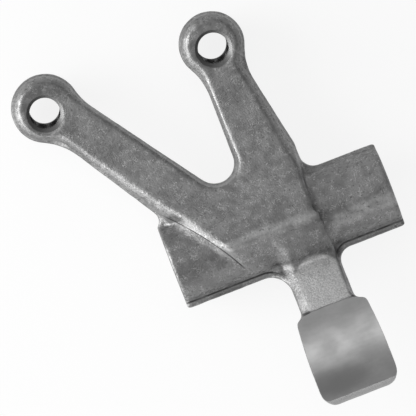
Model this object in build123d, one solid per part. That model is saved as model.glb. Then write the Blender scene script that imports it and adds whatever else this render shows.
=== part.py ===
from build123d import *

from math import cos, radians, sin, sqrt, tan
import os

# Forged steel forked rocker arm, one piece: shaft hub, two arms with eyes for the adjusting
# screws, neck and cam pad.
#
# Frame: the origin is the middle of the shaft bore, +X runs along the bore, +Y points to the
# eyes and +Z is the cam side. The arm lies on its back, on the hub and on the rims of the two
# nut faces.

# Shaft hub
shaft_bore_d = 12.0
hub_outer_d = 16.2
hub_length = 46.7
bore_chamfer = 0.6
hub_end_chamfer = 0.5

# Eyes for the adjusting screws
screw_spacing = 36.0
right_screw_x = 0.2
screw_reach = 38.6
right_eye_d = 13.4
left_eye_d = 14.0
left_eye_shift = 0.4
eye_reach = 38.9
eye_height = 11.22
nut_face_d = 11.0
screw_hole_d = 6.2
screw_lean = 8.0
screw_countersink_d = 8.0
nut_side_chamfer = 0.5

# Fork in plan
left_arm_angle = 33.6
left_arm_width = 9.27
left_arm_spread = 3.35
left_arm_offset = 1.2
right_arm_width = 9.05
right_arm_left_x = -4.0
right_arm_flare = 11.2
body_right_x = 8.55
notch_radius = 3.95
fork_end_y = -7.0
eye_blend = 12.0
hub_corner_blend = 2.0
right_arm_blend = 2.8

# Near side of the fork, facing the cam: a crest over the hub and a shallow dip along the arms
crest_z = 10.2
crest_y = -0.3
crest_round = 2.5
dip_y = 31.0
dip_z = 3.4
front_radius = 13.0
front_sink = 0.1

# Far side of the fork
arm_back_root_z = -5.0
arm_back_eye_z = -3.5

# Rib, neck and cam pad
rib_radius = 18.0
neck_left_x = -2.72
neck_width = 11.35
neck_root_y = -8.3
neck_root_z = 4.7
neck_slope = 30.0
neck_end_y = -18.0
neck_thickness = 6.0
neck_back_root_z = -3.5
neck_root_fillet = 1.5
neck_left_round = 1.6
neck_right_chamfer = 0.3
neck_left_blend = 4.2
neck_right_blend = 2.6
pad_left_x = -4.95
pad_width = 16.15
pad_shoulder_width = 14.8
pad_nose_width = 15.9
shoulder_corner = 1.1
shoulder_blend = 0.9
pad_shoulder_y = -18.7
pad_end_y = -37.0
pad_face_radius = 26.0
pad_crest_y = -30.2
pad_thickness = 6.0
pad_corner = 3.3
pad_nose_round = 1.8
pad_nose_trim = 0.15

# Forging: draft of the walls, trimmed flash land along the parting line, edge rounding
draft = 7.0
neck_draft = 3.0
pad_draft = 2.0
flash_proud = 0.15
hub_flash_proud = 0.7
flash_thickness = 2.4
front_parting_z = 2.0
neck_parting_z = 7.0
edge_round = 0.8

hub_r = hub_outer_d / 2
left_screw_x = right_screw_x - screw_spacing
tall = 60.0


def dip_radius():
    """Radius of the hollow near side, level at the dip and passing through the crest."""
    run = dip_y - crest_y
    rise = crest_z - dip_z
    return (run**2 + rise**2) / (2 * rise)


def near_z(y):
    """Height of the fork's near side between the crest and the eyes' tips."""
    radius = dip_radius()
    return dip_z + radius - sqrt(radius**2 - (y - dip_y) ** 2)


def side_block(*points):
    """A block along X over the whole part, from a closed outline given as (y, z) points."""
    outline = Polyline(*points, close=True)
    return extrude(Plane.YZ * make_face(outline), amount=tall, both=True)


def drafted(plan, base_z, up, down, lean=draft):
    """A plan outline at base_z pulled both ways along Z, its walls leaning in."""
    upper = extrude(plan, amount=up, taper=lean)
    lower = mirror(extrude(plan, amount=down, taper=lean), about=Plane.XY)
    return Pos(0, 0, base_z) * (upper + lower)


def rim(body):
    """The edges round the near side of a body."""
    sides = [face for face in body.faces() if face.normal_at().Z > 0.5]
    edges = [edge for face in sides for edge in face.edges()]
    return [edge for edge in edges if sum(edge.is_same(other) for other in edges) == 1]


def left_arm_edges():
    """Points and directions of the left arm's outer and inner edges, as (x, y, dx, dy)."""
    along = radians(left_arm_angle)
    middle_x = left_screw_x + left_arm_offset / cos(along)
    across = (cos(along), sin(along))
    edges = []
    for side in (-1, 1):
        x = middle_x + side * left_arm_width / 2 * across[0]
        y = eye_reach + side * left_arm_width / 2 * across[1]
        turn = along + side * radians(left_arm_spread) / 2
        edges.append((x, y, sin(turn), -cos(turn)))
    return edges


def edge_x(edge, y):
    """X of a slanting edge at a height y in plan."""
    x0, y0, dx, dy = edge
    return x0 + (y - y0) * dx / dy


def closed(plan, radius):
    """The same outline with its inside corners rounded."""
    return offset(offset(plan, radius), -radius)


def left_arm_plan():
    """The left arm with its eye, running on past the hub."""
    outer, inner = left_arm_edges()
    end_y = -1.5 * hub_r
    arm = Polygon(
        outer[:2],
        (edge_x(outer, end_y), end_y),
        (edge_x(inner, end_y), end_y),
        inner[:2],
        align=None,
    )
    eye = Pos(left_screw_x + left_eye_shift, eye_reach) * Circle(left_eye_d / 2)
    return closed(arm + eye, eye_blend)


def right_arm_plan():
    """The right arm with its eye, flaring towards the hub and running on past it."""
    flare = tan(radians(right_arm_flare))
    end_y = -1.5 * hub_r
    root_y = eye_reach - right_eye_d / 2
    root_right_x = right_arm_left_x + right_arm_width
    top_y = eye_reach - right_eye_d / 4
    arm = Polygon(
        (right_arm_left_x, top_y),
        (right_arm_left_x, end_y),
        (body_right_x, end_y),
        (body_right_x, root_y - (body_right_x - root_right_x) / flare),
        (root_right_x - (top_y - root_y) * flare, top_y),
        align=None,
    )
    eye = Pos(right_screw_x, eye_reach) * Circle(right_eye_d / 2)
    return closed(arm + eye, eye_blend)


def fork_plan():
    """Both arms with the rounded notch between them."""
    return closed(left_arm_plan() + right_arm_plan(), notch_radius)


def neck_plan():
    """The neck from past the hub to inside the pad."""
    right_x = neck_left_x + neck_width
    start_y = 1.5 * hub_r
    end_y = pad_shoulder_y - pad_corner
    return Polygon(
        (neck_left_x, start_y),
        (neck_left_x, end_y),
        (right_x, end_y),
        (right_x, start_y),
        align=None,
    )


def pad_plan():
    """The pad, barrel-sided, square at its shoulders and rounded at its nose."""
    middle_x = pad_left_x + pad_width / 2
    shoulder = pad_shoulder_width / 2
    nose = pad_nose_width / 2
    end_y = pad_end_y - pad_nose_trim
    middle_y = (pad_shoulder_y + end_y) / 2
    left = ThreePointArc(
        (middle_x - shoulder, pad_shoulder_y),
        (middle_x - pad_width / 2, middle_y),
        (middle_x - nose, end_y),
    )
    right = ThreePointArc(
        (middle_x + nose, end_y),
        (middle_x + pad_width / 2, middle_y),
        (middle_x + shoulder, pad_shoulder_y),
    )
    plan = make_face([left, Line(left @ 1, right @ 0), right, Line(right @ 1, left @ 0)])
    corners = plan.vertices().sort_by(Axis.Y)
    plan = fillet(corners[:2], pad_corner)
    corners = plan.vertices().sort_by(Axis.Y)
    return fillet(corners[-2:], shoulder_corner)


def hub_plan():
    """The hub with the flash land along both its sides."""
    return RectangleRounded(hub_length, hub_outer_d + 2 * hub_flash_proud, hub_end_chamfer)


def plan_half(x, y):
    """The half of the plan that lies towards (x, y) from the middle of the neck on the hub."""
    middle_x = neck_left_x + neck_width / 2
    return Pos(middle_x + x * tall, y * tall) * Rectangle(2 * tall, 2 * tall)


def outline():
    """The whole outline at the parting line, where the trimmed flash land stands."""
    arms = closed((fork_plan() & plan_half(0, 1)) + hub_plan(), hub_corner_blend)
    right_arm = (right_arm_plan() & plan_half(0, 1)) + hub_plan()
    arms += closed(right_arm, right_arm_blend)
    neck = (neck_plan() & plan_half(0, -1)) + hub_plan()
    roots = closed(neck, neck_left_blend) & plan_half(-1, 0)
    roots += closed(neck, neck_right_blend) & plan_half(1, 0)
    stem = closed((neck_plan() & plan_half(0, -1)) + pad_plan(), shoulder_blend)
    return arms + roots + stem


def fork_side():
    """Side outline of the fork: crest, hollow near side, tapered back, rounded front."""
    tip_y = eye_reach + left_eye_d / 2 + 1
    crest = (crest_y, crest_z)
    tip = (tip_y, near_z(tip_y))
    front_r = hub_r - front_sink
    front = (fork_end_y, sqrt(front_r**2 - fork_end_y**2))
    hollow = ThreePointArc(crest, (dip_y, dip_z), tip)
    back = Polyline(
        tip,
        (tip_y, arm_back_eye_z),
        (0, arm_back_root_z),
        (fork_end_y, arm_back_root_z),
        front,
    )
    nose = RadiusArc(front, crest, front_radius)
    side = make_face([hollow, *back.edges(), nose])
    corner = side.vertices().sort_by_distance(crest)[0]
    return fillet([corner], crest_round)


def fork():
    """The forked body with its drafted walls."""
    plan = offset(fork_plan(), -flash_proud)
    body = drafted(plan, 0, crest_z + 1, crest_z + 1)
    body &= extrude(Plane.YZ * fork_side(), amount=tall, both=True)
    return fillet(rim(body), edge_round)


def neck_end_z():
    """Height of the neck's near side where the ground face starts."""
    return neck_root_z + (neck_root_y - neck_end_y) * tan(radians(neck_slope))


def pad_crest_z():
    """Height of the pad's ground face at its crest, from where it meets the neck."""
    run = neck_end_y - pad_crest_y
    return neck_end_z() + pad_face_radius - sqrt(pad_face_radius**2 - run**2)


def pad_face_z(y):
    """Height of the pad's ground face."""
    return pad_crest_z() - pad_face_radius + sqrt(pad_face_radius**2 - (y - pad_crest_y) ** 2)


def pad_parting_z():
    """Height of the parting line in the middle of the pad."""
    return pad_crest_z() - pad_thickness / 2 - 0.5


def neck_side():
    """Side outline of the rib over the hub, the neck and the pad."""
    crest = (crest_y, crest_z)
    root = (neck_root_y, neck_root_z)
    junction = (neck_end_y, neck_end_z())
    nose = (pad_end_y, pad_face_z(pad_end_y))
    rib = RadiusArc(root, crest, rib_radius)
    face = ThreePointArc(junction, (pad_crest_y, pad_crest_z()), nose)
    under_z = neck_end_z() - neck_thickness / cos(radians(neck_slope))
    back = Polyline(
        nose,
        (nose[0], pad_crest_z() - pad_thickness),
        (neck_end_y, under_z),
        (neck_root_y, neck_back_root_z),
        (0, neck_back_root_z),
        (0, crest_z),
        crest,
    )
    side = make_face([rib, Line(root, junction), face, *back.edges()])
    root_corner = side.vertices().sort_by_distance(root)[0]
    side = fillet([root_corner], neck_root_fillet)
    nose_corner = side.vertices().sort_by_distance(nose)[0]
    return fillet([nose_corner], pad_nose_round)


def neck():
    """The rib that runs down from the crest and the neck that rises to the pad."""
    plan = offset(neck_plan(), -flash_proud)
    body = drafted(plan, front_parting_z, 2 * crest_z, crest_z, neck_draft)
    body &= extrude(Plane.YZ * neck_side(), amount=tall, both=True)
    left_end = neck_left_x + neck_width / 4
    right_start = neck_left_x + neck_width * 3 / 4
    right_rim = [edge for edge in rim(body) if edge.center().X > right_start]
    body = chamfer(right_rim, neck_right_chamfer)
    left_rim = [edge for edge in rim(body) if edge.center().X < left_end]
    return fillet(left_rim, neck_left_round)


def pad():
    """The pad with its convex ground face, its walls drafted both ways from the parting line."""
    stub = neck_plan() & Pos(0, pad_shoulder_y) * Rectangle(2 * tall, 2 * shoulder_blend)
    plan = closed(pad_plan() + stub, shoulder_blend)
    body = drafted(plan, pad_parting_z(), pad_thickness, pad_thickness, pad_draft)
    return body & extrude(Plane.YZ * neck_side(), amount=tall, both=True)


def land():
    """The trimmed flash land that stands proud all round along the parting line."""
    half = flash_thickness / 2
    line = [(tall, 0), (2, 0), (-hub_r, front_parting_z), (neck_end_y, neck_parting_z)]
    line += [(pad_shoulder_y - shoulder_corner, pad_parting_z())]
    upper = [(y, z + half) for y, z in line]
    lower = [(y, z - half) for y, z in reversed(line)]
    plate = extrude(outline(), amount=tall, both=True)
    return plate & side_block(*upper, *lower)


def hub():
    """The hub with its chamfered ends."""
    barrel = Cylinder(hub_r, hub_length, rotation=(0, 90, 0))
    ends = [edge for edge in barrel.edges() if edge.geom_type == GeomType.CIRCLE]
    return chamfer(ends, hub_end_chamfer)


def shaft_bore():
    """The bore for the rocker shaft with a chamfer at each end."""
    bore_r = shaft_bore_d / 2
    bore = Cylinder(bore_r, 2 * hub_length, rotation=(0, 90, 0))
    cone = Cone(bore_r + bore_chamfer, bore_r, bore_chamfer)
    for end in (1, -1):
        x = end * (hub_length - bore_chamfer) / 2
        bore += Pos(x, 0, 0) * Rot(0, -90 * end, 0) * cone
    return bore


def screw_axis(x):
    """Plane at mid-height of an eye, its normal along the screw, towards the cam side."""
    lean = radians(screw_lean)
    middle_z = near_z(screw_reach) - eye_height / 2 * cos(lean)
    origin = (x, screw_reach, middle_z)
    return Plane(origin=origin, x_dir=(1, 0, 0), z_dir=(0, -sin(lean), cos(lean)))


def nut_boss(x):
    """The boss under an eye that ends in the machined face for the lock nut."""
    flare = eye_height / 2 * tan(radians(draft / 2))
    cone = Cone(nut_face_d / 2, nut_face_d / 2 + flare, eye_height / 2)
    return screw_axis(x) * Pos(0, 0, -eye_height / 4) * cone


def flared_end(end_r, hole_r):
    """A cutting cone as wide as end_r at its top, which is at the origin, and pointing down."""
    depth = end_r - hole_r
    return Pos(0, 0, -depth / 2) * Cone(hole_r, end_r, depth)


def screw_hole(x):
    """The hole for an adjusting screw, countersunk at the cam side and chamfered at the nut."""
    hole_r = screw_hole_d / 2
    end = eye_height / 2
    hole = Cylinder(hole_r, 2 * eye_height)
    sink_r = screw_countersink_d / 2
    sink = Pos(0, 0, end + 1) * flared_end(sink_r + 1, hole_r)
    chamfer = Pos(0, 0, -end) * Rot(180, 0, 0) * flared_end(hole_r + nut_side_chamfer, hole_r)
    return screw_axis(x) * (hole + sink + chamfer)


def rocker_arm():
    screws = (left_screw_x, right_screw_x)
    body = fork()
    for x in screws:
        body += nut_boss(x)
    body += hub() + neck() + pad() + land()
    for x in screws:
        body -= screw_hole(x)
    return body - shaft_bore()


def main():
    os.makedirs("parts", exist_ok=True)
    arm = rocker_arm()
    arm.label = "rocker_arm"
    export_step(arm, "parts/rocker_arm.step")


if __name__ == "__main__":
    main()
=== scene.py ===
import bpy
import math
from mathutils import Matrix, Vector


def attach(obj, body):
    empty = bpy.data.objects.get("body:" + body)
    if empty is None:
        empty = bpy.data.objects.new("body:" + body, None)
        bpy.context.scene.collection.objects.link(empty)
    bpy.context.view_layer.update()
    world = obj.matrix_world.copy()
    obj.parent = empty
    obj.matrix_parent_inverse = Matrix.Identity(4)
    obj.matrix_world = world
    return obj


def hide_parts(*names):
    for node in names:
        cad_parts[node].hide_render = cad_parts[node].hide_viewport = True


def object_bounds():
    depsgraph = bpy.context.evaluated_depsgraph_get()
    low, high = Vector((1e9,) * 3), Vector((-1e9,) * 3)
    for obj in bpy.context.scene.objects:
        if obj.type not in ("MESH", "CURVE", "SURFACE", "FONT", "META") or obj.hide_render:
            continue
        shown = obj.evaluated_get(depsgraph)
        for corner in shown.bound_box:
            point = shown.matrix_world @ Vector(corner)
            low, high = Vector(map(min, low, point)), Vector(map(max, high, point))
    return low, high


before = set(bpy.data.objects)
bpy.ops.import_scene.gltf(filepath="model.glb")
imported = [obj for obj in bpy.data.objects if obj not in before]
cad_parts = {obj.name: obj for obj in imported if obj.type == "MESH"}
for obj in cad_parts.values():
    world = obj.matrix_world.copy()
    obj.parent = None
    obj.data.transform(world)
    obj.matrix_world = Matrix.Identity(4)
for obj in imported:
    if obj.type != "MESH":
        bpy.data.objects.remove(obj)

startLow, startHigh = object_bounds()
scene = bpy.context.scene
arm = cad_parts["rocker_arm"]
mm = 0.001


def deselectAll():
    if bpy.context.object and bpy.context.object.mode != "OBJECT":
        bpy.ops.object.mode_set(mode="OBJECT")
    bpy.ops.object.select_all(action="DESELECT")


def pick(thing):
    deselectAll()
    thing.select_set(True)
    bpy.context.view_layer.objects.active = thing


def applyModifier(thing, name, kind, **settings):
    pick(thing)
    modifier = thing.modifiers.new(name, kind)
    for key, value in settings.items():
        setattr(modifier, key, value)
    bpy.ops.object.modifier_apply(modifier=modifier.name)


def bakePlace(thing):
    pick(thing)
    bpy.ops.object.transform_apply(location=True, rotation=True, scale=True)


# the forging before it was machined: the CAD shape with its bores filled, its corners run soft
# and its skin uneven, as a forging die and shot blasting leave them

blank = {"merge": 0.002 * mm, "firstGrid": 0.40 * mm, "firstSoftening": 1, "grid": 0.34 * mm,
         "softening": 3, "swell": 0.05 * mm, "swellSize": 3.0 * mm, "grain": 0.025 * mm,
         "grainSize": 0.9 * mm}
hubRadius = 8.1 * mm
near = {"crestY": -0.3 * mm, "crestZ": 10.2 * mm, "crestSoft": 0.9 * mm, "dipY": 31.0 * mm,
        "dipZ": 3.4 * mm, "noseY": -7.0 * mm, "noseZ": 4.02 * mm, "noseRadius": 20.0 * mm}
neck = {"leftX": -2.72 * mm, "middleX": 2.95 * mm, "rightX": 8.63 * mm, "half": 5.6 * mm,
        "margin": 0.1 * mm, "rootY": -8.3 * mm, "rootZ": 4.7 * mm, "rootSoft": 1.0 * mm,
        "slope": 30.0, "flankWidth": 2.1 * mm, "flankFill": 1.06, "ribRadius": 18.0 * mm,
        "edge": 0.3 * mm, "crown": 0.3 * mm, "landZ": 3.2 * mm, "landSlope": 0.505,
        "runIn": 4.0 * mm, "ribEdge": 1.2 * mm, "ribEdgeSlope": 1.4, "ribAbove": 0.3 * mm}
# the step over the hub's left part: its foot and its shoulder are insets from the left arm's outer
# edge, as (y, inset) pairs in millimetres, with a bent crease between them
ramp = {"foot": ((-6.6, 1.9), (-1.4, 1.35), (2.1, 0.75), (6.0, 0.05), (9.8, -0.7)),
        "shoulder": ((-6.6, 2.7), (-3.5, 3.4), (2.4, 3.7), (9.8, 2.8), (17.0, 2.2)),
        "footHollow": 1.25, "topBow": 0.3, "creaseTop": 2.35 * mm, "creaseTopY": -1.0 * mm,
        "creaseBend": 12.5, "creaseShare": 0.47, "creaseDepth": 0.16 * mm,
        "creaseWidth": 0.4 * mm, "creaseEndY": 12 * mm, "creaseLowZ": 1.5 * mm,
        "rightX": -3.0 * mm, "endY": 8.0 * mm, "runOut": 5.0 * mm, "barrelSoft": 0.2 * mm}
# each arm: its eye's centre and radius, its turn, and its outer and inner edges as point and turn
flank = {"wallLean": 10.0, "chamferLean": 40.0, "inset": 0.45 * mm, "insetPerHeight": 0.344,
         "land": 0.2 * mm, "landZ": 1 * mm, "edge": 0.25 * mm, "lowest": 0.9 * mm,
         "fork": 14.0 * mm, "middleX": -6 * mm, "middleSlope": 0.46, "rightNarrowing": 0.2,
         "innerSteepness": 1.77, "innerShift": 0.25 * mm, "innerStart": 20.0 * mm,
         "innerSoft": 0.5 * mm, "endSoft": 1.0 * mm, "eyeSoft": 2.0 * mm,
         "left": {"eye": (-35.4 * mm, 38.9 * mm, 7.0 * mm), "turn": 33.6,
                  "outer": (-38.22 * mm, 36.33 * mm, 31.925),
                  "inner": (-30.50 * mm, 41.465 * mm, 35.275)},
         "right": {"eye": (0.2 * mm, 38.9 * mm, 6.7 * mm), "turn": 0.0,
                   "outer": (5.05 * mm, 32.2 * mm, 11.2), "inner": (-4.0 * mm, 32.2 * mm, 0.0)}}
# grooves beside the flash land: the corners under the hub as side, centre and the grooves' radius;
# the rest also places the painted shade in the grooves and creases
grooves = {"corners": ((1, -6.92 * mm, -13.0 * mm, 5.35 * mm),
                       (-1, 11.23 * mm, -11.4 * mm, 3.75 * mm)),
           "half": 0.26 * mm, "depth": 0.14 * mm, "width": 0.35 * mm, "reach": 3 * mm,
           "clear": 4.8 * mm, "startY": -6.5 * mm, "lowZ": 2 * mm, "highZ": 4.5 * mm,
           "neckX": 2.95 * mm, "junctionY": -17.95 * mm, "junctionShare": 0.5,
           "alongEnd": (3.4 * mm, 2.6 * mm), "besideStart": (4.5 * mm, 5.0 * mm),
           "outStart": (0.0, 1 * mm), "fromZ": (0.8 * mm, 1.4 * mm), "core": 0.4,
           "creaseThin": 0.7, "junctionThin": 0.9, "creaseStart": (-6.0 * mm, -4.0 * mm),
           "creaseEnd": (12 * mm, 9 * mm)}
shaft = {"radius": 6.0 * mm, "length": 46.7 * mm, "chamfer": 0.6 * mm, "facing": 0.15 * mm,
         "facingRadius": 9.5 * mm, "plugRadius": 7.0 * mm, "sides": 128}
screw = {"reach": 38.6 * mm, "middleZ": -1.7716 * mm, "lean": 8.0,
         "places": (-35.8 * mm, 0.2 * mm), "height": 11.22 * mm, "minorRadius": 3.1 * mm,
         "majorRadius": 3.5 * mm, "pitch": 0.75 * mm, "threadFlank": 1.15, "ringsPerTurn": 8,
         "sinkRadius": 4.0 * mm, "chamfer": 0.5 * mm, "facing": 0.12 * mm,
         "facingRadius": 7.6 * mm, "plugRadius": 4.3 * mm, "plugSunk": 0.25 * mm, "sides": 64}
padFace = {"radius": 26.0 * mm, "crestY": -30.2 * mm, "crestZ": 13.34 * mm, "startY": -18.0 * mm,
           "middleX": 3.1 * mm, "depth": 0.02 * mm, "stock": 0.6 * mm, "stockGap": 0.3 * mm,
           "stockDepth": 5 * mm, "noseY": -35.2 * mm, "noseZ": 13.11 * mm, "noseSlope": 0.5,
           "noseRadius": 2.5 * mm, "cutter": (30 * mm, 24 * mm, 24 * mm), "cutterZ": 17 * mm,
           "wheelWidth": 60 * mm, "wheelSides": 720}
plugShort = 0.02 * mm   # keeps the plugs' ends under the faces


def softMax(a, b, width):
    share = max(width - abs(a - b), 0.0) / width
    return max(a, b) + share * share * width / 4


def softMin(a, b, width):
    return -softMax(-a, -b, width)


def clamp(value):
    return min(max(value, 0.0), 1.0)


def archHeight(y, lowY, lowZ, highY, highZ, radius):
    # a convex arc through two points, level beyond its top
    run, drop = highY - lowY, highZ - lowZ
    chord = math.hypot(run, drop)
    sag = math.sqrt(radius ** 2 - chord ** 2 / 4)
    centreY = (highY + lowY) / 2 + sag * drop / chord
    centreZ = (highZ + lowZ) / 2 - sag * run / chord
    return centreZ + math.sqrt(max(radius ** 2 - min(y - centreY, 0.0) ** 2, 0.0))


def barrelHeight(y):
    return math.sqrt(max(hubRadius ** 2 - y ** 2, 0.0))


def nearHeight(y):
    # near side of the fork along its length: hollow up to the crest, convex beyond it
    run, rise = near["dipY"] - near["crestY"], near["crestZ"] - near["dipZ"]
    radius = (run ** 2 + rise ** 2) / (2 * rise)
    hollow = near["dipZ"] + radius - math.sqrt(radius ** 2 - (y - near["dipY"]) ** 2)
    nose = archHeight(y, near["noseY"], near["noseZ"], near["crestY"], near["crestZ"],
                      near["noseRadius"])
    return softMin(hollow, nose, near["crestSoft"])


def ribHeight(y):
    # near side of the rib and the neck
    rib = archHeight(y, neck["rootY"], neck["rootZ"], near["crestY"], near["crestZ"],
                     neck["ribRadius"])
    rise = neck["rootZ"] + (neck["rootY"] - y) * math.tan(math.radians(neck["slope"]))
    return softMax(rib, rise, neck["rootSoft"])


def insideLine(line, x, y, side):
    lineX, lineY, turn = line
    angle = math.radians(turn)
    return side * ((x - lineX) * math.cos(angle) + (y - lineY) * math.sin(angle))


def insideArm(side, x, y, outerSide):
    # how far a point lies inside an arm's outline
    eyeX, eyeY, eyeRadius = side["eye"]
    inEye = eyeRadius - math.hypot(x - eyeX, y - eyeY)
    angle = math.radians(side["turn"])
    belowEye = (x - eyeX) * math.sin(angle) - (y - eyeY) * math.cos(angle)
    outer = insideLine(side["outer"], x, y, outerSide)
    if outerSide < 0:
        outer += max(flank["fork"] - y, 0.0) * flank["rightNarrowing"]
    strip = softMin(outer, belowEye, flank["endSoft"])
    if y > flank["fork"]:
        inner = insideLine(side["inner"], x, y, -outerSide) * flank["innerSteepness"]
        inner += flank["innerShift"] + max(flank["innerStart"] - y, 0.0)
        strip = softMin(strip, inner, flank["innerSoft"])
    return softMax(inEye, strip, flank["eyeSoft"])


def insideOutline(x, y):
    left, right = insideArm(flank["left"], x, y, 1), insideArm(flank["right"], x, y, -1)
    if y < flank["fork"]:
        return min(left, right)
    middle = flank["middleX"] - (y - flank["fork"]) * flank["middleSlope"]
    return left if x < middle else right


def alongY(pairs, y):
    # value at y from (y, value) pairs in millimetres, straight between them
    y /= mm
    for (y0, value0), (y1, value1) in zip(pairs, pairs[1:]):
        if y < y1:
            return (value0 + (value1 - value0) * (max(y, y0) - y0) / (y1 - y0)) * mm
    return pairs[-1][1] * mm


def creaseInset(y):
    return ramp["creaseTop"] - ramp["creaseBend"] * (y - ramp["creaseTopY"]) ** 2


def rampShare(inside, y):
    # the step has a hollow foot, a fine crease and a rounded upper part
    foot, crease, shoulder = alongY(ramp["foot"], y), creaseInset(y), alongY(ramp["shoulder"], y)
    if inside <= foot:
        return 0.0
    if inside < crease:
        risen = (inside - foot) / (crease - foot)
        return ramp["creaseShare"] * risen ** ramp["footHollow"]
    risen = min((inside - crease) / (shoulder - crease), 1.0)
    risen *= 1 + ramp["topBow"] - ramp["topBow"] * risen
    return ramp["creaseShare"] + (1 - ramp["creaseShare"]) * risen


def flankTop(inside, y):
    # the flanks go up steeply from the land, then lean over to the near side
    middle = nearHeight(y)
    inset = flank["inset"] + flank["insetPerHeight"] * middle
    wall = (inside - flank["land"]) / math.tan(math.radians(flank["wallLean"]))
    chamfer = middle - (inset - inside) / math.tan(math.radians(flank["chamferLean"]))
    return softMin(softMin(middle, chamfer, flank["edge"]), wall, 3 * flank["edge"])


def leftTop(inside, y):
    # the left flank: the step over the hub runs out into the arm's own flank
    base = max(barrelHeight(y), flank["landZ"])
    step = base + max(nearHeight(y) - base, 0.0) * rampShare(inside, y)
    t = clamp((y - ramp["endY"]) / ramp["runOut"])
    return step + (max(flankTop(inside, y), base) - step) * t * t * (3 - 2 * t)


def neckTop(x, y):
    # the rib and the neck are crowned and fall off to the barrel and the land on their left
    middle = ribHeight(y)
    foot = neck["landZ"] + (neck["rootY"] - y) * neck["landSlope"]
    if y > -hubRadius:
        foot = max(barrelHeight(y), foot)
    if y > near["noseY"]:
        foot = max(nearHeight(y), foot)
    grown = clamp((near["crestY"] - y) / neck["runIn"])
    width = neck["flankWidth"] * grown
    past = min((x - neck["leftX"] + neck["margin"]) / width, 1.0) if width > 0 else 1.0
    crown = grown * neck["crown"] * ((x - neck["middleX"]) / neck["half"]) ** 2
    rise = foot + (middle - foot) * max(past, 0.0) * neck["flankFill"]
    return softMin(middle - crown, rise, neck["edge"])


def padTop(y, z):
    # stock for grinding the cam face, rounded over at the nose
    past = max(padFace["noseY"] - y, 0.0)
    if past == 0:
        return z + padFace["stock"]
    radius = padFace["noseRadius"]
    nose = padFace["noseZ"] - padFace["noseSlope"] * past
    nose -= radius - math.sqrt(radius ** 2 - past ** 2)
    return min(z + padFace["stock"], nose)


def shapedHeight(x, y, z):
    left = neck["leftX"] - neck["margin"]
    if y < near["noseY"]:
        if y > padFace["startY"] and left < x < neck["rightX"]:
            return min(z, neckTop(x, y))
        onPad = y < padFace["startY"] - padFace["stockGap"]
        if onPad and z > padFace["crestZ"] - padFace["stockDepth"]:
            return padTop(y, z)
        return z
    barrel = barrelHeight(y)
    if y < near["crestY"] and x > ramp["rightX"]:
        past = x - neck["rightX"] + neck["ribEdge"]
        if 0 < past < neck["ribEdge"] + neck["margin"] and z > barrel + neck["ribAbove"]:
            share = (y - near["noseY"]) / (near["crestY"] - near["noseY"])
            return z - past * neck["ribEdgeSlope"] * share
        return min(z, neckTop(x, y)) if left < x < neck["middleX"] else z
    inside = insideOutline(x, y)
    onLeft = x < ramp["rightX"]
    top = leftTop(inside, y) if onLeft else max(flankTop(inside, y), barrel)
    raised = onLeft and abs(y) < hubRadius and z > barrel - ramp["barrelSoft"]
    return max(top, flank["lowest"]) if z > top or raised else z


def shapeNearSide(piece):
    for vertex in piece.data.vertices:
        if vertex.co.z >= flank["lowest"]:
            vertex.co.z = shapedHeight(*vertex.co)


def pressGrooves(piece):
    for vertex in piece.data.vertices:
        x, y, z = vertex.co
        onStep = near["noseY"] < y < ramp["creaseEndY"] and x < ramp["rightX"]
        if onStep and z > ramp["creaseLowZ"]:
            away = insideLine(flank["left"]["outer"], x, y, 1) - creaseInset(y)
            vertex.co.z -= ramp["creaseDepth"] * math.exp(-(away / ramp["creaseWidth"]) ** 2)
        elif y < grooves["startY"] and grooves["lowZ"] < z < grooves["highZ"]:
            for side, centreX, centreY, radius in grooves["corners"]:
                along = max((x - centreX) * side, 0.0)
                away = math.hypot(along, y - centreY) - radius
                beside = (grooves["neckX"] - x) * side > grooves["clear"]
                if beside and along < grooves["reach"] and y > centreY:
                    depth = math.exp(-(away / grooves["width"]) ** 2)
                    vertex.co.z -= grooves["depth"] * depth


def screwPlace(x):
    place = Matrix.Translation((x, screw["reach"], screw["middleZ"]))
    return place @ Matrix.Rotation(math.radians(screw["lean"]), 4, "X")


def addPlug(radius, depth, place):
    deselectAll()
    bpy.ops.mesh.primitive_cylinder_add(vertices=96, radius=radius, depth=depth)
    plug = bpy.context.object
    plug.matrix_world = place
    bakePlace(plug)
    return plug


def addBlank():
    piece = bpy.data.objects.new("RockerArm", arm.data.copy())
    scene.collection.objects.link(piece)
    piece.data.materials.clear()
    pick(piece)
    bpy.ops.object.mode_set(mode="EDIT")
    bpy.ops.mesh.select_all(action="SELECT")
    bpy.ops.mesh.remove_doubles(threshold=blank["merge"])
    bpy.ops.object.mode_set(mode="OBJECT")
    plugs = [addPlug(shaft["plugRadius"], shaft["length"] - plugShort,
                     Matrix.Rotation(math.radians(90), 4, "Y"))]
    sunk = screw["plugSunk"]   # stays under the sloping near side
    for x in screw["places"]:
        place = screwPlace(x) @ Matrix.Translation((0, 0, -sunk / 2))
        plugs.append(addPlug(screw["plugRadius"], screw["height"] - sunk - plugShort, place))
    pick(piece)
    for plug in plugs:
        plug.select_set(True)
    bpy.ops.object.join()
    applyModifier(piece, "Remesh", "REMESH", mode="VOXEL", voxel_size=blank["firstGrid"])
    applyModifier(piece, "Soften", "SMOOTH", factor=0.5, iterations=blank["firstSoftening"])
    shapeNearSide(piece)
    applyModifier(piece, "Remesh", "REMESH", mode="VOXEL", voxel_size=blank["grid"])
    applyModifier(piece, "Soften", "SMOOTH", factor=0.5, iterations=blank["softening"])
    pressGrooves(piece)
    for name in ("swell", "grain"):
        noise = bpy.data.textures.new(name, "CLOUDS")
        noise.noise_scale = blank[name + "Size"]
        noise.noise_depth = 2
        applyModifier(piece, name, "DISPLACE", texture=noise, texture_coords="LOCAL",
                      strength=2 * blank[name], mid_level=1.0)   # only inwards
    print("blank", len(piece.data.polygons), "faces")
    return piece


# cutters, each turned from a ring that is extruded and scaled along +Z

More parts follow.
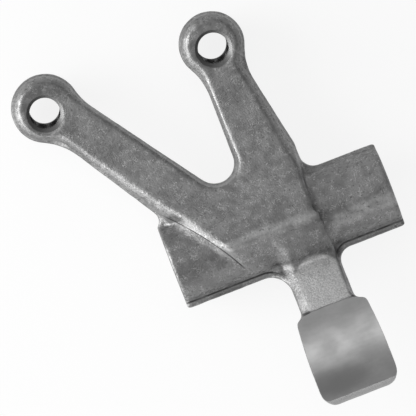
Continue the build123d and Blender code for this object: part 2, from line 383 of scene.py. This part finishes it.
def addTurned(name, profile, sides, material):
    deselectAll()
    z, radius = profile[0]
    bpy.ops.mesh.primitive_circle_add(vertices=sides, radius=radius, fill_type="NGON",
                                      location=(0, 0, z))
    cutter = bpy.context.object
    cutter.name = name
    bakePlace(cutter)
    bpy.ops.object.mode_set(mode="EDIT")
    bpy.ops.mesh.select_all(action="SELECT")
    for nextZ, nextRadius in profile[1:]:
        bpy.ops.mesh.extrude_region_move(TRANSFORM_OT_translate={"value": (0, 0, nextZ - z)})
        share = nextRadius / radius
        if abs(share - 1) > 1e-6:
            bpy.ops.transform.resize(value=(share, share, 1), center_override=(0, 0, nextZ))
        radius, z = nextRadius, nextZ
    bpy.ops.mesh.select_all(action="SELECT")
    bpy.ops.mesh.normals_make_consistent(inside=False)
    bpy.ops.object.mode_set(mode="OBJECT")
    cutter.data.materials.append(material)
    return cutter


def cutThread(cutter, lowZ, highZ):
    depth = screw["majorRadius"] - screw["minorRadius"]
    for vertex in cutter.data.vertices:
        x, y, z = vertex.co
        if lowZ - 1e-7 <= z <= highZ + 1e-7:
            turn = (z / screw["pitch"] - math.atan2(y, x) / (2 * math.pi)) % 1.0
            runOut = min(1.0, (z - lowZ) / screw["pitch"], (highZ - z) / screw["pitch"])
            ridge = max(0.0, 1 - abs(2 * turn - 1) * screw["threadFlank"])
            grown = 1 + depth * ridge * runOut / screw["minorRadius"]
            vertex.co.x, vertex.co.y = x * grown, y * grown


def cut(piece, cutter):
    applyModifier(piece, "Cut", "BOOLEAN", operation="DIFFERENCE", object=cutter, solver="EXACT",
                  material_mode="TRANSFER")
    bpy.data.objects.remove(cutter, do_unlink=True)
    print("cut", len(piece.data.polygons), "faces")


def cutShaftBore(piece, material):
    radius, facing = shaft["radius"], shaft["facingRadius"]
    wide = radius + shaft["chamfer"]
    end = shaft["length"] / 2 - shaft["facing"]
    inner = end - shaft["chamfer"]
    half = [(inner, radius), (end, wide), (end, facing), (end + 3 * mm, facing)]
    profile = [(-z, wideness) for z, wideness in reversed(half)] + half
    cutter = addTurned("ShaftBore", profile, shaft["sides"], material)
    cutter.matrix_world = Matrix.Rotation(math.radians(90), 4, "Y")
    bakePlace(cutter)
    cut(piece, cutter)


def cutScrewHole(piece, x, material):
    minor, sink, facing = screw["minorRadius"], screw["sinkRadius"], screw["facingRadius"]
    top = screw["height"] / 2
    bottom = -top + screw["facing"]
    lowZ, highZ = bottom + screw["chamfer"], top - (sink - minor)
    rings = screw["ringsPerTurn"] * round((highZ - lowZ) / screw["pitch"])
    profile = [(bottom - 2 * mm, facing), (bottom, facing), (bottom, minor + screw["chamfer"])]
    profile += [(lowZ + (highZ - lowZ) * i / rings, minor) for i in range(rings + 1)]
    profile += [(top, sink), (top + 1 * mm, sink + 1 * mm)]
    cutter = addTurned("ScrewHole", profile, screw["sides"], material)
    cutThread(cutter, lowZ, highZ)
    cutter.matrix_world = screwPlace(x)
    bakePlace(cutter)
    cut(piece, cutter)


def grindPad(piece, material):
    # a block that is hollowed by the cam face's own radius takes the stock off
    deselectAll()
    x, length = padFace["middleX"], padFace["cutter"][1]
    bpy.ops.mesh.primitive_cube_add(size=1, scale=padFace["cutter"], location=(
        x, padFace["startY"] - length / 2, padFace["cutterZ"]))
    block = bpy.context.object
    bakePlace(block)
    centreZ = padFace["crestZ"] - padFace["depth"] - padFace["radius"]
    bpy.ops.mesh.primitive_cylinder_add(
        vertices=padFace["wheelSides"], radius=padFace["radius"], depth=padFace["wheelWidth"],
        location=(x, padFace["crestY"], centreZ), rotation=(0, math.radians(90), 0))
    wheel = bpy.context.object
    bakePlace(wheel)
    block.data.materials.append(material)
    wheel.data.materials.append(material)
    cut(block, wheel)
    cut(piece, block)


def sharpenCuts(piece):
    # an edge that a cutter left stays crisp
    skins = {}
    for face in piece.data.polygons:
        for key in face.edge_keys:
            skins.setdefault(key, set()).add(face.material_index)
    for edge in piece.data.edges:
        if len(skins.get(edge.key, ())) > 1:
            edge.use_edge_sharp = True


# materials: sizes of patterns are in millimetres, bands are (middle, full to, gone at)

# the dark groove colour is painted shade in the grooves and creases
forged = {"dark": "#7A7A7A", "light": "#8C8C8C", "fleck": "#BCBCBC", "pit": "#585858",
          "belted": "#CACACA", "beltedDark": "#B0B0B0", "grooveShade": "#3A3A3A", "crest": "#A0A0A0",
          "rubbedHub": "#B0B0B0", "nose": "#A2A2A2", "roughness": 0.52, "roughnessSpread": 0.05,
          "noseShine": 0.14, "mottle": 5.0, "cloud": 1.4, "beltGrain": 0.3, "worm": 0.5,
          "wormWidth": 0.055, "wormShare": 0.7, "patch": 1.5, "pitSize": 0.55, "pitShare": 0.6,
          "grain": 0.36, "grainDepth": 0.075, "grooveBreak": 2.4, "cloudShare": 0.4,
          "cloudRange": (0.4, 0.6), "crestRange": (0.42, 0.58), "hubRange": (0.38, 0.56),
          "rubTo": (0.5, 1.0), "beltRange": (0.35, 0.65), "beltPits": (0.6, 0.0),
          "patchRange": (0.46, 0.60), "steepRange": (0.45, 0.85), "steepTo": (0.10, 0.0),
          "pitRange": (0.28, 0.38), "breakRange": (0.3, 0.6), "breakTo": (0.5, 0.9)}
rubbedCrest = {"band": (-0.1 * mm, 0.6 * mm, 1.5 * mm), "fromZ": (8.6 * mm, 9.6 * mm)}
rubbedHub = {"band": (-2.8 * mm, 0.5 * mm, 2.2 * mm), "fromX": (8.8 * mm, 11.0 * mm),
             "fromZ": (5.5 * mm, 6.5 * mm)}
belted = {"middleX": 3.4 * mm, "startY": -7.7 * mm, "bow": 2.1 * mm, "half": 4.2 * mm,
          "fade": 0.5 * mm, "leftX": -0.8 * mm, "rightX": 7.8 * mm, "fromZ": (3.0 * mm, 4.0 * mm)}
nosePolish = {"fromY": (-34.8 * mm, -35.2 * mm), "fromZ": (10.2 * mm, 11.6 * mm)}
machined = {"colour": "#B4B4B4", "roughness": (0.25, 0.40), "line": 0.12}
# the tapped holes' dark colour is painted shade in the recesses
threadShade = {"colour": "#747474", "roughness": 0.5}
# the ground face's run colour, place and size are painted shade: a darker patch for the dark
# reflection on its far half
ground = {"dark": "#A6A6A6", "light": "#B8B8B8", "run": "#949494", "roughness": 0.36,
          "roughnessSpread": 0.03, "patch": 4.0, "patchRange": (0.3, 0.7), "streak": 0.7,
          "stretch": 0.25, "streakShare": 0.25, "shadePlace": (-0.9 * mm, -32.4 * mm),
          "shadeSize": (7.0 * mm, 2.8 * mm), "shadeEdge": (2.3, 0.6), "shadeUneven": 1.2}


def linear(hexColour):
    channels = [int(hexColour[i:i + 2], 16) / 255 for i in (1, 3, 5)]
    return (*[c / 12.92 if c <= 0.04045 else ((c + 0.055) / 1.055) ** 2.4 for c in channels], 1.0)


def perMm(size):
    return 1 / (size * mm)


def addNode(tree, kind, settings=None):
    # what comes from another node is linked; the rest sets a socket or the node itself
    node = tree.nodes.new("ShaderNode" + kind)
    for name, value in (settings or {}).items():
        if isinstance(value, bpy.types.NodeSocket):
            tree.links.new(value, node.inputs[name])
        elif isinstance(name, int) or name in node.inputs:
            node.inputs[name].default_value = value
        else:
            setattr(node, name, value)
    return node.outputs


def softRange(value, ends, to=(0.0, 1.0)):
    # settings of a Map Range node that runs softly from one end to the other
    return {"interpolation_type": "SMOOTHSTEP", 0: value, 1: ends[0], 2: ends[1],
            3: to[0], 4: to[1]}


def newMaterial(name):
    material = bpy.data.materials.new(name)
    material.use_nodes = True
    tree = material.node_tree
    shader = tree.nodes["Principled BSDF"]
    shader.inputs["Metallic"].default_value = 1.0
    return material, tree, shader


def overlap(tree, *shares):
    total = shares[0]
    for share in shares[1:]:
        total = addNode(tree, "Math", {"operation": "MULTIPLY", 0: total, 1: share})[0]
    return total


def bandShare(tree, value, middle, full, gone):
    off = addNode(tree, "Math", {"operation": "SUBTRACT", 0: value, 1: middle})[0]
    off = addNode(tree, "Math", {"operation": "ABSOLUTE", 0: off})[0]
    return addNode(tree, "MapRange", softRange(off, (gone, full)))[0]


def crestShare(tree, y, z):
    # the crest over the hub is rubbed a little brighter
    above = addNode(tree, "MapRange", softRange(z, rubbedCrest["fromZ"]))[0]
    return overlap(tree, bandShare(tree, y, *rubbedCrest["band"]), above)


def hubShare(tree, x, y, z):
    # so is a broad band along the hub's right part
    shares = [bandShare(tree, y, *rubbedHub["band"])]
    for value, ends in ((x, rubbedHub["fromX"]), (z, rubbedHub["fromZ"])):
        shares.append(addNode(tree, "MapRange", softRange(value, ends))[0])
    return overlap(tree, *shares)


def beltedShare(tree, x, y, z):
    # the neck's near side was belted after forging, up to an arched start at the hub
    across = addNode(tree, "Math", {"operation": "SUBTRACT", 0: x, 1: belted["middleX"]})[0]
    across = addNode(tree, "Math", {"operation": "DIVIDE", 0: across, 1: belted["half"]})[0]
    start = addNode(tree, "Math", {"operation": "MULTIPLY_ADD", 0: overlap(tree, across, across),
                                   1: -belted["bow"], 2: belted["startY"]})[0]
    below = addNode(tree, "Math", {"operation": "SUBTRACT", 0: start, 1: y})[0]
    leftX, rightX, fade = belted["leftX"], belted["rightX"], belted["fade"]
    edges = ((below, (-fade, fade)), (z, belted["fromZ"]), (x, (leftX - fade, leftX + fade)),
             (x, (rightX + fade, rightX - fade)))
    return overlap(tree, *[addNode(tree, "MapRange", softRange(*edge))[0] for edge in edges])


def cornerGroove(tree, x, y, side, centreX, centreY, radius):
    # along the land under the hub, then round the corner to the neck
    along = addNode(tree, "Math", {"operation": "SUBTRACT", 0: x, 1: centreX})[0]
    along = addNode(tree, "Math", {"operation": "MAXIMUM", 0: overlap(tree, along, float(side)),
                                   1: 0.0})[0]
    out = addNode(tree, "Math", {"operation": "SUBTRACT", 0: y, 1: centreY})[0]
    both = addNode(tree, "CombineXYZ", {0: along, 1: out})[0]
    away = addNode(tree, "VectorMath", {"operation": "LENGTH", 0: both})["Value"]
    beside = addNode(tree, "Math", {"operation": "SUBTRACT", 0: x, 1: grooves["neckX"]})[0]
    beside = overlap(tree, beside, -float(side))
    half = grooves["half"]
    edges = ((along, grooves["alongEnd"]), (beside, grooves["besideStart"]),
             (out, grooves["outStart"]))
    return overlap(tree, bandShare(tree, away, radius, half * grooves["core"], half),
                   *[addNode(tree, "MapRange", softRange(*edge))[0] for edge in edges])


def creaseGroove(tree, place, y):
    # the crease of the step over the hub, as deep in from the arm's edge as creaseInset says
    lineX, lineY, turn = flank["left"]["outer"]
    normal = (math.cos(math.radians(turn)), math.sin(math.radians(turn)), 0.0)
    inside = addNode(tree, "VectorMath", {"operation": "DOT_PRODUCT", 0: place, 1: normal})
    bent = addNode(tree, "Math", {"operation": "SUBTRACT", 0: y, 1: ramp["creaseTopY"]})[0]
    bent = addNode(tree, "Math", {"operation": "MULTIPLY_ADD", 0: overlap(tree, bent, bent),
                                  1: ramp["creaseBend"], 2: inside["Value"]})[0]
    middle = ramp["creaseTop"] + lineX * normal[0] + lineY * normal[1]
    half = grooves["half"] * grooves["creaseThin"]
    ends = [addNode(tree, "MapRange", softRange(y, grooves[name]))[0]
            for name in ("creaseStart", "creaseEnd")]
    return overlap(tree, bandShare(tree, bent, middle, half * grooves["core"], half), *ends)


def grooveShadeShare(tree, place, x, y, z):
    # painted shade: the grooves, the step's crease and the neck's junction with the pad are
    # coloured dark where shade falls
    half = grooves["half"] * grooves["junctionThin"]
    junction = bandShare(tree, y, grooves["junctionY"], half * grooves["core"], half)
    total = overlap(tree, junction, grooves["junctionShare"])
    lines = [cornerGroove(tree, x, y, *corner) for corner in grooves["corners"]]
    for line in (*lines, creaseGroove(tree, place, y)):
        total = addNode(tree, "Math", {"operation": "MAXIMUM", 0: total, 1: line})[0]
    uneven = addNode(tree, "TexNoise", {"Vector": place, "Scale": perMm(forged["grooveBreak"]),
                                        "Detail": 3.0})[0]
    uneven = addNode(tree, "MapRange", softRange(uneven, forged["breakRange"],
                                                forged["breakTo"]))[0]
    above = addNode(tree, "MapRange", softRange(z, grooves["fromZ"]))[0]
    return overlap(tree, total, uneven, above)


def noseShare(tree, y, z):
    # the rounded nose of the pad was polished with the cam face
    shares = [addNode(tree, "MapRange", softRange(value, ends))[0]
              for value, ends in ((y, nosePolish["fromY"]), (z, nosePolish["fromZ"]))]
    return overlap(tree, *shares)


def forgedSteel():
    # shot-blasted forging steel: matt grey skin, cloudy, with short bright scratches and small
    # pits; the blasted grain is drawn coarser than it is, so that it shows
    material, tree, shader = newMaterial("BlastedForgedSteel")
    place = addNode(tree, "TexCoord")["Object"]
    x, y, z = addNode(tree, "SeparateXYZ", {0: place})
    mottle = addNode(tree, "TexNoise", {"Vector": place, "Scale": perMm(forged["mottle"])})[0]
    cloud = addNode(tree, "TexNoise", {"Vector": place, "Scale": perMm(forged["cloud"]),
                                       "Detail": 3.0})[0]
    cloud = addNode(tree, "Math", {"operation": "ADD",
                                   0: overlap(tree, mottle, 1 - forged["cloudShare"]),
                                   1: overlap(tree, cloud, forged["cloudShare"])})[0]
    share = addNode(tree, "MapRange", softRange(cloud, forged["cloudRange"]))[0]
    colour = addNode(tree, "Mix", {"data_type": "RGBA", 0: share, 6: linear(forged["dark"]),
                                   7: linear(forged["light"])})[2]

    rub = addNode(tree, "MapRange", softRange(cloud, forged["crestRange"], forged["rubTo"]))[0]
    rub = overlap(tree, crestShare(tree, y, z), rub)
    colour = addNode(tree, "Mix", {"data_type": "RGBA", 0: rub, 6: colour,
                                   7: linear(forged["crest"])})[2]
    rub = addNode(tree, "MapRange", softRange(cloud, forged["hubRange"], forged["rubTo"]))[0]
    rub = overlap(tree, hubShare(tree, x, y, z), rub)
    colour = addNode(tree, "Mix", {"data_type": "RGBA", 0: rub, 6: colour,
                                   7: linear(forged["rubbedHub"])})[2]

    beltMark = addNode(tree, "TexNoise", {"Vector": place, "Scale": perMm(forged["beltGrain"]),
                                          "Detail": 1.0})[0]
    beltMark = addNode(tree, "MapRange", softRange(beltMark, forged["beltRange"]))[0]
    beltColour = addNode(tree, "Mix", {"data_type": "RGBA", 0: beltMark,
                                       6: linear(forged["beltedDark"]),
                                       7: linear(forged["belted"])})[2]
    belt = beltedShare(tree, x, y, z)
    colour = addNode(tree, "Mix", {"data_type": "RGBA", 0: belt, 6: colour, 7: beltColour})[2]

    worm = addNode(tree, "TexNoise", {"Vector": place, "Scale": perMm(forged["worm"]),
                                      "Detail": 1.0, "Distortion": 0.6})[0]
    worm = bandShare(tree, worm, 0.5, 0.0, forged["wormWidth"])
    patch = addNode(tree, "TexNoise", {"Vector": place, "Scale": perMm(forged["patch"]),
                                       "Detail": 3.0})[0]
    patch = addNode(tree, "MapRange", softRange(patch, forged["patchRange"],
                                               (0.0, forged["wormShare"])))[0]
    colour = addNode(tree, "Mix", {"data_type": "RGBA", 0: overlap(tree, worm, patch), 6: colour,
                                   7: linear(forged["fleck"])})[2]

    # the walls are more pitted than the flats
    facing = addNode(tree, "SeparateXYZ", {0: addNode(tree, "NewGeometry")["Normal"]})[2]
    steep = addNode(tree, "MapRange", softRange(facing, forged["steepRange"],
                                               forged["steepTo"]))[0]
    pits = addNode(tree, "TexNoise", {"Vector": place, "Scale": perMm(forged["pitSize"])})[0]
    pits = addNode(tree, "Math", {"operation": "SUBTRACT", 0: pits, 1: steep})[0]
    pits = addNode(tree, "MapRange", softRange(pits, forged["pitRange"],
                                              (forged["pitShare"], 0.0)))[0]
    unbelted = addNode(tree, "MapRange", softRange(belt, forged["beltPits"]))[0]
    colour = addNode(tree, "Mix", {"data_type": "RGBA", 0: overlap(tree, pits, unbelted),
                                   6: colour, 7: linear(forged["pit"])})[2]

    # painted shade darkens the grooves and creases
    grooveShade = grooveShadeShare(tree, place, x, y, z)
    colour = addNode(tree, "Mix", {"data_type": "RGBA", 0: grooveShade, 6: colour,
                                   7: linear(forged["grooveShade"])})[2]
    polish = noseShare(tree, y, z)
    colour = addNode(tree, "Mix", {"data_type": "RGBA", 0: polish, 6: colour,
                                   7: linear(forged["nose"])})[2]

    middle, spread = forged["roughness"], forged["roughnessSpread"]
    rough = addNode(tree, "MapRange", softRange(cloud, forged["cloudRange"],
                                               (middle - spread, middle + spread)))[0]
    rough = addNode(tree, "Math", {"operation": "SUBTRACT", 0: rough,
                                   1: overlap(tree, polish, forged["noseShine"])})[0]
    grain = addNode(tree, "TexNoise", {"Vector": place, "Scale": perMm(forged["grain"])})[0]
    unpolished = addNode(tree, "MapRange", softRange(polish, (1.0, 0.0)))[0]
    bump = addNode(tree, "Bump", {"Height": grain, "Strength": unpolished,
                                  "Distance": forged["grainDepth"] * mm})[0]
    for name, source in (("Base Color", colour), ("Roughness", rough), ("Normal", bump)):
        tree.links.new(source, shader.inputs[name])
    return material


def machinedSteel():
    # bored and faced steel: brighter, with fine tool lines
    material, tree, shader = newMaterial("MachinedSteel")
    place = addNode(tree, "TexCoord")["Object"]
    shader.inputs["Base Color"].default_value = linear(machined["colour"])
    lines = addNode(tree, "TexNoise", {"Vector": place, "Scale": perMm(machined["line"]),
                                       "Detail": 1.0})[0]
    rough = addNode(tree, "MapRange", softRange(lines, (0.0, 1.0), machined["roughness"]))[0]
    tree.links.new(rough, shader.inputs["Roughness"])
    return material


def shadedThreadSteel():
    # tapped holes and their countersinks: dull, and coloured dark as painted shade in the recesses
    material, tree, shader = newMaterial("ShadedThreadSteel")
    shader.inputs["Base Color"].default_value = linear(threadShade["colour"])
    shader.inputs["Roughness"].default_value = threadShade["roughness"]
    return material


def groundSteel():
    # hardened cam face, ground and run in: smooth, with faint grinding streaks, drawn coarser than
    # they are, and a darker patch of painted shade on its far half
    material, tree, shader = newMaterial("GroundSteel")
    place = addNode(tree, "TexCoord")["Object"]
    drawn = addNode(tree, "VectorMath", {"operation": "MULTIPLY", 0: place,
                                         1: (ground["stretch"], 1.0, 1.0)})[0]
    patch = addNode(tree, "TexNoise", {"Vector": place, "Scale": perMm(ground["patch"]),
                                       "Detail": 4.0})[0]
    streak = addNode(tree, "TexNoise", {"Vector": drawn, "Scale": perMm(ground["streak"]),
                                        "Detail": 3.0})[0]
    patch = addNode(tree, "Math", {"operation": "ADD",
                                   0: overlap(tree, patch, 1 - ground["streakShare"]),
                                   1: overlap(tree, streak, ground["streakShare"])})[0]
    # painted shade: a darker oval patch on the cam face's far half
    away = overlap(tree, patch, ground["shadeUneven"])
    position = addNode(tree, "SeparateXYZ", {0: place})
    for axis in (0, 1):
        off = addNode(tree, "Math", {"operation": "SUBTRACT", 0: position[axis],
                                     1: ground["shadePlace"][axis]})[0]
        off = addNode(tree, "Math", {"operation": "DIVIDE", 0: off, 1: ground["shadeSize"][axis]})[0]
        away = addNode(tree, "Math", {"operation": "MULTIPLY_ADD", 0: off, 1: off, 2: away})[0]
    run = addNode(tree, "MapRange", softRange(away, ground["shadeEdge"]))[0]
    share = addNode(tree, "MapRange", softRange(patch, ground["patchRange"]))[0]
    colour = addNode(tree, "Mix", {"data_type": "RGBA", 0: share, 6: linear(ground["dark"]),
                                   7: linear(ground["light"])})[2]
    colour = addNode(tree, "Mix", {"data_type": "RGBA", 0: run, 6: colour,
                                   7: linear(ground["run"])})[2]
    middle, spread = ground["roughness"], ground["roughnessSpread"]
    rough = addNode(tree, "MapRange", softRange(patch, ground["patchRange"],
                                               (middle + spread, middle - spread)))[0]
    tree.links.new(colour, shader.inputs["Base Color"])
    tree.links.new(rough, shader.inputs["Roughness"])
    return material


# camera, light and floor

view = {"turn": 21.17, "middle": (-0.0123, 0.0086), "distance": 0.930, "width": 0.0832,
        "sensor": 36.0}
worldColour = "#A6A6A6"
# place and size in metres, power in watts; each lamp points at the shaft's middle
lamps = {"KeyLeft": ((-0.6, 0.25, 0.35), (0.5, 0.5), 4.2),
         "LowLeft": ((-0.8, 0.05, 0.14), (0.7, 0.22), 5.0),
         "SoftTop": ((0.0, 0.30, 0.95), (0.45, 0.45), 0.72),
         "Back": ((0.0, 0.8, 0.3), (0.6, 0.3), 0.45),
         "Front": ((0.0, -0.8, 0.3), (0.6, 0.3), 0.75),
         "FrontLeft": ((-0.6, -0.55, 0.16), (0.5, 0.22), 2.0)}
floorPaper = {"size": 4.0, "colour": "#EDEDED", "glow": 0.85, "gap": 0.1 * mm}


def addCamera():
    data = bpy.data.cameras.new("Camera")
    camera = bpy.data.objects.new("Camera", data)
    scene.collection.objects.link(camera)
    data.sensor_width = view["sensor"]
    data.lens = view["sensor"] / (view["width"] / view["distance"])
    data.clip_start, data.clip_end = 0.05, 20.0
    camera.location = (*view["middle"], view["distance"])
    camera.rotation_euler = (0.0, 0.0, -math.radians(view["turn"]))
    scene.camera = camera


def addLight(name, place, size, power):
    data = bpy.data.lights.new(name, "AREA")
    data.shape = "RECTANGLE"
    data.size, data.size_y = size
    data.energy = power
    lamp = bpy.data.objects.new(name, data)
    scene.collection.objects.link(lamp)
    lamp.location = place
    lamp.rotation_euler = (-Vector(place)).to_track_quat("-Z", "Y").to_euler()


def addFloor():
    deselectAll()
    height = startLow.z - floorPaper["gap"]
    bpy.ops.mesh.primitive_plane_add(size=floorPaper["size"], location=(0.0, 0.0, height))
    floor = bpy.context.object
    floor.name = "Floor"
    material = bpy.data.materials.new("FloorPaper")
    material.use_nodes = True
    tree = material.node_tree
    tree.nodes.clear()
    path = addNode(tree, "LightPath")
    seen = path["Is Camera Ray"]
    for ray in ("Is Glossy Ray", "Is Transmission Ray"):
        seen = addNode(tree, "Math", {"operation": "MAXIMUM", 0: seen, 1: path[ray]})[0]
    share = addNode(tree, "Math", {"operation": "MULTIPLY", 0: seen, 1: floorPaper["glow"]})[0]
    paper = addNode(tree, "BsdfDiffuse", {"Color": linear(floorPaper["colour"])})[0]
    glow = addNode(tree, "Emission", {"Color": (1.0, 1.0, 1.0, 1.0), "Strength": 1.0})[0]
    mix = addNode(tree, "MixShader", {0: share, 1: paper, 2: glow})[0]
    addNode(tree, "OutputMaterial", {"Surface": mix})
    floor.data.materials.append(material)


def addWorld():
    world = bpy.data.worlds.new("World")
    scene.world = world
    world.use_nodes = True
    world.node_tree.nodes["Background"].inputs["Color"].default_value = linear(worldColour)


scene.view_settings.view_transform = "Standard"
addCamera()
addWorld()
addFloor()
for lampName, lampValues in lamps.items():
    addLight(lampName, *lampValues)
print("camera, light and floor done")

forgedSkin, machinedSkin = forgedSteel(), machinedSteel()
groundSkin, shadedThreadSkin = groundSteel(), shadedThreadSteel()
rocker = addBlank()
rocker.data.materials.append(forgedSkin)
grindPad(rocker, groundSkin)
cutShaftBore(rocker, machinedSkin)
for screwX in screw["places"]:
    cutScrewHole(rocker, screwX, shadedThreadSkin)
pick(rocker)
bpy.ops.object.shade_smooth_by_angle(angle=math.radians(32))
sharpenCuts(rocker)
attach(rocker, "root")
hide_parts("rocker_arm")
print("rocker arm done", len(rocker.data.polygons), "faces")
